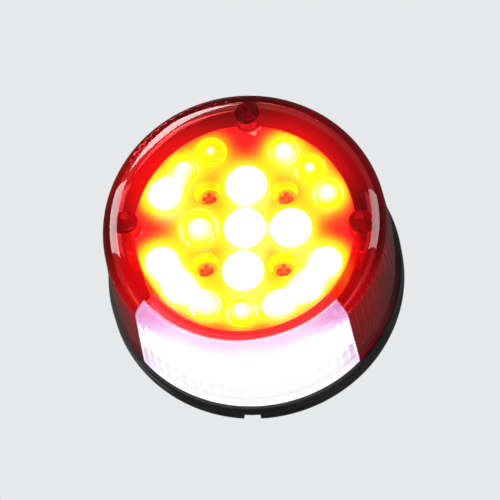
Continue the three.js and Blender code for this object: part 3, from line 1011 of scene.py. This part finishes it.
def light_divider():
    """The wall between the red and the white light, with an end that reaches the lens each side."""
    low, high = depths("light_divider")
    half_angle, inner, outer = 49.5, 21.3, 22.1
    wall = prism("divider_wall", sector(inner, outer, half_angle, 96), low, high, 0.15)
    end_radius = (outer + LENS["top_inner"] - 0.3) / 2 - 0.1
    ends = []
    for turn in (DOWN - half_angle, DOWN + half_angle):
        outline = plate(2.1, 0.8, 0.2, polar(end_radius, turn), turn)
        ends.append(prism("end", outline, COLLAR["top"] + 0.3, SHOULDER, 0.15))
    fuse(wall, *ends)
    place(wall, "white_plastic", "divider", "light_divider")


def plate_light_board():
    low, high = depths("plate_light_board")
    inner, outer, half_angle = 22.42, 22.74, 42
    strip = prism("plate_light_strip", sector(inner, outer, half_angle, 64), low, high, 0.08, 2)
    place(strip, "flex_board", "flex", "plate_light_board")


def turned_outward(piece, at, angle):
    """Turns a piece made facing +z so that it faces outwards from the lamp's axis, at a place."""
    c, s = polar(1, angle)
    for vertex in piece.data.vertices:
        x, y, z = vertex.co.x / MM, vertex.co.z / MM, -vertex.co.y / MM
        point = [(at[0] + c * z - s * x, at[1] + s * z + c * x, at[2] + y)]
        vertex.co = lamp_to_row(point)[0]
    return piece


def white_led(node):
    """A flat LED package: a white frame with tinned ends round a lit phosphor window."""
    angle = round(angle_of(centre(node)))
    low, high = depths(node)
    across, along, thick, radius = 2.8, high - low, 1.0, 23.02
    window = plate(across - 0.7, along - 0.9, 0.4)
    body = prism("frame", plate(across, along, 0.15), 0, thick - 0.05, 0.06)
    cut(body, prism("window", window, thick - 0.35, thick + PAST))
    lit = plate(across - 0.74, along - 0.94, 0.38)
    phosphor = prism("phosphor", lit, thick - 0.4, thick - 0.12, 0.05)
    parts = [finish_index(body, 0), finish_index(phosphor, 1)]
    for side in (-1, 1):
        outline = plate(across - 0.3, 0.3, 0.05, (0, side * (along / 2 - 0.15)))
        parts.append(finish_index(prism("end", outline, -0.04, 0.3, 0.04), 2))
    spot = (*polar(radius, angle), (low + high) / 2)
    made = turned_outward(joined(node + "_package", parts), spot, angle)
    place(tidied(made, 0), "white_led", "flex white_led tin", node)


# ---- gland and breather


def cable_gland():
    """A rubber gland: flanges on both sides of the housing's wall and a ribbed nose for the cable."""
    bore, neck, flange, flange_back, flange_thickness = 3.0, 4.9, 6.1, 0.5, 1.3
    end, seat, inner = depths("cable_gland")[0], HOUSING_BACK - TOUCH, FACE + TOUCH
    root, tip, straight, ribs, rib_dip = 5.3, 4.3, -1.0, 4, 0.55
    nose = [(bore, end), (tip, end)]
    spacing = (straight - end) / ribs
    for k in range(ribs):
        z = end + spacing * k
        crest = tip + (root - tip) * (z - end) / (straight - end)
        nose += [(crest, z + 0.25 * spacing), (crest - rib_dip, z + 0.45 * spacing)]
        nose += [(crest - rib_dip, z + 0.8 * spacing), (crest + 0.15, z + spacing)]
    body = [(root, flange_back), (flange, flange_back), (flange, seat), (neck, seat)]
    top = inner + flange_thickness
    body += [(neck, inner), (flange, inner), (flange, top), (bore, top)]
    gland = lathe("gland_boot", eased([*nose, *body], 0.3, 3), MEDIUM, GLAND_PLACE)
    place(gland, "rubber", "rubber", "cable_gland")


def breather_cap():
    """A snap-in cap with slots round its edge that let the housing breathe."""
    low, high = depths("breather_cap")
    cap, stem, seat = 3.2, 1.2, HOUSING_BACK - TOUCH
    ring_in, ring_out, ring_floor, slots = 1.7, 2.0, low + 0.25, 8
    outline = [(0, low), (cap, low), (cap, seat), (stem, seat), (stem, high), (0, high)]
    body = lathe("breather_plug", eased(outline, 0.3, 3), MEDIUM, VENT_PLACE)
    tools = []
    for k in range(slots):
        turn = 360 / slots * k
        x, y = polar(cap, turn)
        at = (VENT_PLACE[0] + x, VENT_PLACE[1] + y)
        tools.append(prism("slot", plate(1.2, 0.6, 0.25, at, turn), low - PAST, low + 0.8))
    below = low - PAST
    profile = [(ring_in, below), (ring_out, below), (ring_out, ring_floor), (ring_in, ring_floor)]
    cut(body, *tools, lathe("ring", profile, MEDIUM, VENT_PLACE))
    place(body, "black_nylon", "nylon", "breather_cap")


# ---- studs, washers and nuts


def hexagon(name, across, low, high, at=(0, 0)):
    corner = across / 2 / math.cos(math.radians(30))
    return prism(name, circle(corner, at, 6), low, high)


def chamfered_hexagon(name, across, low, high, at, both=True):
    """A hexagon whose corners are turned off at 30 degrees, as a nut's are."""
    corner = across / 2 / math.cos(math.radians(30)) + 0.05
    edge = across / 2 * 0.98
    fall = (corner - edge) * math.tan(math.radians(30))
    lower = [(0, low), (edge, low), (corner, low + fall)] if both else [(0, low), (corner, low)]
    upper = [(corner, high - fall), (edge, high), (0, high)]
    turned = lathe(name, lower + upper, MEDIUM, at)
    return common(turned, hexagon("flats", across, low - PAST, high + PAST, at))


def stud(side):
    """An M5 bolt whose head sits in the housing's pocket, with its thread behind the gasket."""
    at = STUD_PLACES[side]
    low, high = depths(f"{side}_stud")
    seat = high - HEAD_HEIGHT
    head = chamfered_hexagon(f"{side}_stud_bolt", ACROSS_FLATS, seat, high, at, both=False)
    shank = rod("shank", THREAD["crest"] - 0.05, GASKET[1], seat + SKIN, at, sides=48)
    screw_part = thread("thread", THREAD["crest"], THREAD["root"], low, GASKET[1] + 0.4, at)
    fuse(head, shank, screw_part)
    place(head, "steel", "zinc", f"{side}_stud", crease=40)


def washer(side):
    low, high = depths(f"{side}_washer")
    low -= WASHER_GROWTH
    inner, outer = 2.7, 5.0
    outline = eased([(inner, low), (outer, low), (outer, high), (inner, high)], 0.16, 3)
    made = lathe(f"{side}_flat_washer", outline, MEDIUM, STUD_PLACES[side])
    place(made, "steel", "zinc", f"{side}_washer", body=f"{side}_washers")


def spring_washer(side):
    """A split ring that is wound up slightly, with its cut ends offset from each other."""
    low = depths(f"{side}_nut")[1] + 2 * TOUCH
    high = depths(f"{side}_washer")[0] - WASHER_GROWTH - 2 * TOUCH
    at = STUD_PLACES[side]
    inner, outer, rise, gap, steps = 2.72, 4.6, 0.3, 12, 72
    thick = high - low - rise
    section = eased([(inner, 0), (outer, 0), (outer, thick), (inner, thick)], 0.14, 2)
    rows = []
    for step in range(steps + 1):
        t = step / steps
        c, s = polar(1, 90 + gap / 2 + (360 - gap) * t)
        rows.append([(at[0] + c * r, at[1] + s * r, low + rise * t + z) for r, z in section])
    ends = [[tuple(np.mean(row, axis=0))] for row in (rows[0], rows[-1])]
    made = rings(f"{side}_lock_washer", [ends[0], *rows, ends[1]], closed=False)
    place(made, "steel", "zinc", f"{side}_spring_washer", body=f"{side}_washers")


def nut(side):
    """An M5 nut with a cut thread, in phase with its stud's, and a countersink at both ends."""
    at = STUD_PLACES[side]
    low, high = depths(f"{side}_nut")
    made = chamfered_hexagon(f"{side}_hex_nut", ACROSS_FLATS, low, high, at)
    slack, sink, sink_in, sink_out = 0.08, 0.45, 2.1, 2.75
    turns = math.ceil((high - low) / 2 / PITCH + 2) * PITCH
    middle = round((low + high) / 2 / PITCH) * PITCH
    crest, root = THREAD["crest"] + slack, THREAD["root"] + slack
    tap = thread("tap", crest, root, middle - turns, middle + turns, at)
    mouths = []
    for depth, past in ((low, low - PAST), (high, high + PAST)):
        inward = depth + math.copysign(sink, depth - past)
        cone = [(0, inward), (sink_in, inward), (sink_out, depth), (sink_out, past), (0, past)]
        mouths.append(lathe("mouth", cone, 48, at))
    cut(made, tap, *mouths)
    place(made, "steel", "zinc", f"{side}_nut", body=f"{side}_nut", crease=40)


# ---- stage, light and camera

BACKDROP = (0.80, 0.81, 0.82)
# The backdrop looks pale, and lights and mirrors in the lamp less than that.
WORLD_LIGHT = {"Camera": 1.0, "Diffuse": 0.35, "Glossy": 0.07, "Transmission": 0.25}
FLOOR_LEVEL = -0.45
FLOOR_RADIUS = 4.0
FLOOR_THICKNESS = 10  # millimetres
FADE_START, FADE_END = 0.5, 1.6
# The photo's view: azimuth, elevation, roll and distance.
VIEW = (6, -22, 2, 1.2)
FOCAL_LENGTH = 460
# Each light's azimuth, elevation, distance, width, height and power.
SOFTBOXES = {
    "key": (-42, 52, 0.9, 0.4, 0.4, 6),
    "left": (-70, 22, 0.8, 0.5, 0.4, 5),
    "right": (74, 22, 0.8, 0.5, 0.4, 3),
    "back": (188, 10, 1.4, 0.24, 0.24, 14),
}


def floor():
    """A pale floor that fades into the backdrop with its distance."""
    shader = Shader("floor", Roughness=0.9, Specular_IOR_Level=0.1)
    cloud = shader.noise(6, 2.0)
    shader.mottle("Base Color", cloud, (0.70, 0.70, 0.71), (0.73, 0.73, 0.74))
    tree = shader.tree
    far = tree.nodes.new("ShaderNodeEmission")
    far.inputs["Color"].default_value = (*BACKDROP, 1)
    distance = shader.vector("LENGTH", shader.position)["Value"]
    share = shader.share(distance, FADE_START, FADE_END)
    mix = shader.node("MixShader", {0: share, 1: shader.principled.outputs[0], 2: far.outputs[0]})
    tree.links.new(mix.outputs[0], tree.nodes["Material Output"].inputs["Surface"])
    edge = FLOOR_RADIUS / MM
    profile = [(0, 0), (edge, 0), (edge, -FLOOR_THICKNESS), (0, -FLOOR_THICKNESS)]
    disc = lathe("floor", profile, 64)
    disc.rotation_euler = (math.radians(-90), 0, 0)
    disc.location = (0, 0, FLOOR_LEVEL)
    disc.data.materials.append(shader.material)
    disc.visible_glossy = False


def world():
    made = bpy.data.worlds.new("studio")
    made.use_nodes = True
    nodes, links = made.node_tree.nodes, made.node_tree.links
    background = nodes["Background"]
    background.inputs["Color"].default_value = (*BACKDROP, 1)
    path = nodes.new("ShaderNodeLightPath")
    total = None
    for ray, share in WORLD_LIGHT.items():
        add = nodes.new("ShaderNodeMath")
        add.operation = "MULTIPLY_ADD"
        add.inputs[1].default_value = share
        add.inputs[2].default_value = 0.0
        links.new(path.outputs[f"Is {ray} Ray"], add.inputs[0])
        if total:
            links.new(total, add.inputs[2])
        total = add.outputs[0]
    links.new(total, background.inputs["Strength"])
    bpy.context.scene.world = made


def direction(azimuth, elevation):
    """From the lamp towards a viewer. Azimuth 0 is straight in front of the lens."""
    a, e = math.radians(azimuth), math.radians(elevation)
    return Vector((math.sin(a) * math.cos(e), -math.cos(a) * math.cos(e), math.sin(e)))


def softbox(name, azimuth, elevation, distance, width, height, power, target):
    light = bpy.data.lights.new(name, "AREA")
    light.shape = "RECTANGLE"
    light.size = width
    light.size_y = height
    light.energy = power
    made = bpy.data.objects.new(name, light)
    out = direction(azimuth, elevation)
    made.location = target + out * distance
    made.rotation_mode = "QUATERNION"
    made.rotation_quaternion = (-out).to_track_quat("-Z", "Y")
    bpy.context.scene.collection.objects.link(made)


def camera(azimuth, elevation, roll, distance, target):
    data = bpy.data.cameras.new("camera")
    data.lens = FOCAL_LENGTH
    data.clip_start = 0.01
    data.clip_end = 20
    made = bpy.data.objects.new("camera", data)
    out = direction(azimuth, elevation)
    made.location = target + out * distance
    made.rotation_mode = "QUATERNION"
    level = (-out).to_track_quat("-Z", "Y")
    made.rotation_quaternion = level @ Quaternion((0, 0, 1), math.radians(roll))
    bpy.context.scene.collection.objects.link(made)
    bpy.context.scene.camera = made


def studio():
    front = cad_bounds[0].y
    middle = Vector((0, front / 2, 0))
    bpy.context.scene.view_settings.view_transform = "Standard"
    camera(*VIEW, middle)
    world()
    floor()
    for name, values in SOFTBOXES.items():
        softbox(name, *values, middle)


# ---- the lamp


def build():
    red_lens()
    plate_window()
    mounting_gasket()
    housing()
    lens_seal()
    led_board()
    reflector()
    for node in RED_LEDS:
        red_led(node)
    for node in BOARD_SCREWS:
        board_screw(node)
    for node in LENS_SCREWS:
        lens_screw(node)
    for node in (*nodes_named("string_resistor_"), "dimming_resistor"):
        chip_resistor(node)
    leaded_package("voltage_regulator", 3, 2.6, 2.9, 0.3)
    leaded_package("protection_diode", 1, 3.6, 2.5, 0.2)
    wire_terminal()
    light_divider()
    plate_light_board()
    for node in nodes_named("white_led_"):
        white_led(node)
    cable_gland()
    breather_cap()
    for side in STUD_PLACES:
        stud(side)
        washer(side)
        spring_washer(side)
        nut(side)


studio()
build()
